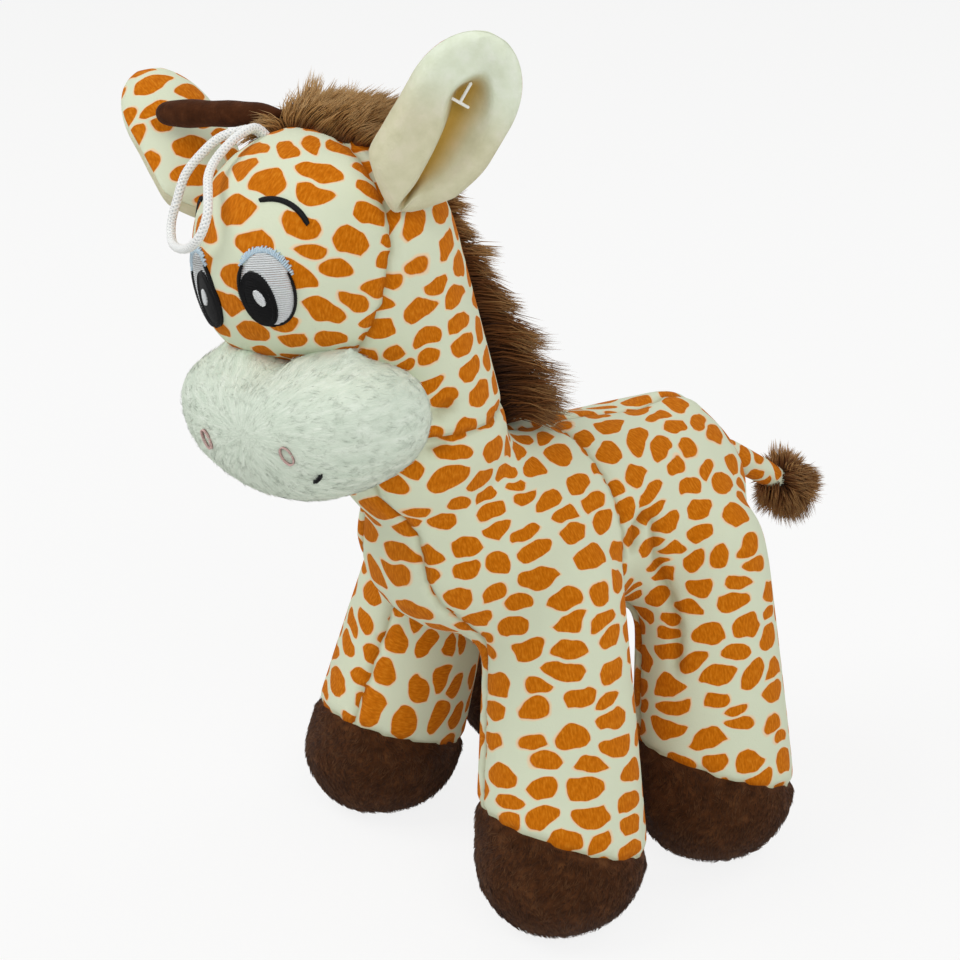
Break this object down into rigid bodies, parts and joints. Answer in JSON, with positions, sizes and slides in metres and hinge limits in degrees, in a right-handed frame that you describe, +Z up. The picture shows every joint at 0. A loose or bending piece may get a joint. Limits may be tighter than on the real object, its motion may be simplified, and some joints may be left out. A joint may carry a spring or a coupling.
{
  "type": "plush giraffe",
  "caption": "Standing plush giraffe with a cocked head, spotted cloth panels, dark hoofs, stitched eyes, mane, ears, horns, tail and a hang loop; legs, head, ears, horns and tail bend.",
  "frame": {"origin": "middle of the toy's footprint on the surface that it stands on, measured without the hang loop", "axes": "+Z up, -Y the way the giraffe faces, +X its left side"},
  "size_m": [0.1866, 0.2808, 0.3167],
  "materials": {
    "print_cloth": "velour cloth with orange patches printed on cream",
    "hoof_plush": "short dark brown plush",
    "muzzle_plush": "short off-white plush",
    "ear_plush": "short cream plush",
    "horn_plush": "smooth dark brown velour",
    "long_pile": "long brown pile with lighter tips",
    "fibre": "white polyester fibre",
    "cord": "white braided cord",
    "white_thread": "white satin stitch",
    "black_thread": "black satin stitch",
    "blue_thread": "pale blue satin stitch",
    "pink_thread": "pale pink stitch",
    "barb_plastic": "clear-white moulded plastic"
  },
  "bodies": {
    "torso": {"torso_panel_left": "print_cloth", "torso_panel_right": "print_cloth", "belly_panel": "print_cloth", "torso_stuffing": "fibre"},
    "leg_front_left": {"leg_cover_front_left": "print_cloth", "hoof_cover_front_left": "hoof_plush", "leg_stuffing_front_left": "fibre"},
    "leg_front_right": {"leg_cover_front_right": "print_cloth", "hoof_cover_front_right": "hoof_plush", "leg_stuffing_front_right": "fibre"},
    "leg_hind_left": {"leg_cover_hind_left": "print_cloth", "hoof_cover_hind_left": "hoof_plush", "leg_stuffing_hind_left": "fibre"},
    "leg_hind_right": {"leg_cover_hind_right": "print_cloth", "hoof_cover_hind_right": "hoof_plush", "leg_stuffing_hind_right": "fibre"},
    "tail": {"tail_tube": "print_cloth", "tail_tuft": "long_pile"},
    "neck": {"neck_stuffing": "fibre"},
    "head": {"face_panel": "print_cloth", "head_panel_left": "print_cloth", "head_panel_right": "print_cloth", "muzzle_cover": "muzzle_plush", "head_stuffing": "fibre", "mane": "long_pile", "hang_loop": "cord", "eye_white_left": "white_thread", "eye_white_right": "white_thread", "eye_pupil_left": "black_thread", "eye_pupil_right": "black_thread", "eye_glint_left": "white_thread", "eye_glint_right": "white_thread", "eye_lid_left": "blue_thread", "eye_lid_right": "blue_thread", "brow_left": "black_thread", "brow_right": "black_thread", "nostril_left": "pink_thread", "nostril_right": "pink_thread", "mouth_stitch_left": "black_thread", "mouth_stitch_right": "black_thread"},
    "ear_left": {"ear_outer_left": "print_cloth", "ear_lining_left": "ear_plush", "tag_barb": "barb_plastic"},
    "ear_right": {"ear_outer_right": "print_cloth", "ear_lining_right": "ear_plush"},
    "horn_left": {"horn_left": "horn_plush"},
    "horn_right": {"horn_right": "horn_plush"}
  },
  "joints": [
    {"name": "hip_front_left", "type": "hinge", "parent": "torso", "child": "leg_front_left", "pos_m": [0.04126, -0.02661, 0.115], "axis": [1, 0, 0], "range_deg": [-12, 2], "stiffness_Nm_per_rad": 2},
    {"name": "hip_front_right", "type": "hinge", "parent": "torso", "child": "leg_front_right", "pos_m": [-0.02274, -0.02661, 0.115], "axis": [1, 0, 0], "range_deg": [-12, 2], "stiffness_Nm_per_rad": 2},
    {"name": "hip_hind_left", "type": "hinge", "parent": "torso", "child": "leg_hind_left", "pos_m": [0.04326, 0.04239, 0.11], "axis": [1, 0, 0], "range_deg": [-2, 12], "stiffness_Nm_per_rad": 2},
    {"name": "hip_hind_right", "type": "hinge", "parent": "torso", "child": "leg_hind_right", "pos_m": [-0.02474, 0.04239, 0.11], "axis": [1, 0, 0], "range_deg": [-2, 12], "stiffness_Nm_per_rad": 2},
    {"name": "tail_lift", "type": "hinge", "parent": "torso", "child": "tail", "pos_m": [0.00926, 0.08339, 0.13], "axis": [1, 0, 0], "range_deg": [-20, 20], "stiffness_Nm_per_rad": 0.1},
    {"name": "head_nod", "type": "hinge", "parent": "torso", "child": "neck", "pos_m": [0.00926, -0.05961, 0.17], "axis": [1, 0, 0], "range_deg": [-8, 6], "stiffness_Nm_per_rad": 3},
    {"name": "head_turn", "type": "hinge", "parent": "neck", "child": "head", "pos_m": [0.00926, -0.05961, 0.17], "axis": [0, -0.7771, 0.6293], "range_deg": [-30, 10], "stiffness_Nm_per_rad": 2},
    {"name": "ear_flop_left", "type": "hinge", "parent": "head", "child": "ear_left", "pos_m": [0.03896, -0.08499, 0.26213], "axis": [0.5718, 0.6569, -0.4915], "range_deg": [-30, 30], "stiffness_Nm_per_rad": 0.05},
    {"name": "ear_flop_right", "type": "hinge", "parent": "head", "child": "ear_right", "pos_m": [-0.04333, -0.09809, 0.24595], "axis": [-0.0613, -0.9973, -0.0393], "range_deg": [-6, 30], "stiffness_Nm_per_rad": 0.05},
    {"name": "horn_flop_left", "type": "hinge", "parent": "head", "child": "horn_left", "pos_m": [0.00458, -0.08695, 0.28506], "axis": [0.9168, -0.3603, 0.1726], "range_deg": [-3, 60], "stiffness_Nm_per_rad": 0.05},
    {"name": "horn_flop_right", "type": "hinge", "parent": "head", "child": "horn_right", "pos_m": [-0.02097, -0.09102, 0.28004], "axis": [-0.4, 0.9143, -0.0638], "range_deg": [-3, 60], "stiffness_Nm_per_rad": 0.05}
  ]
}
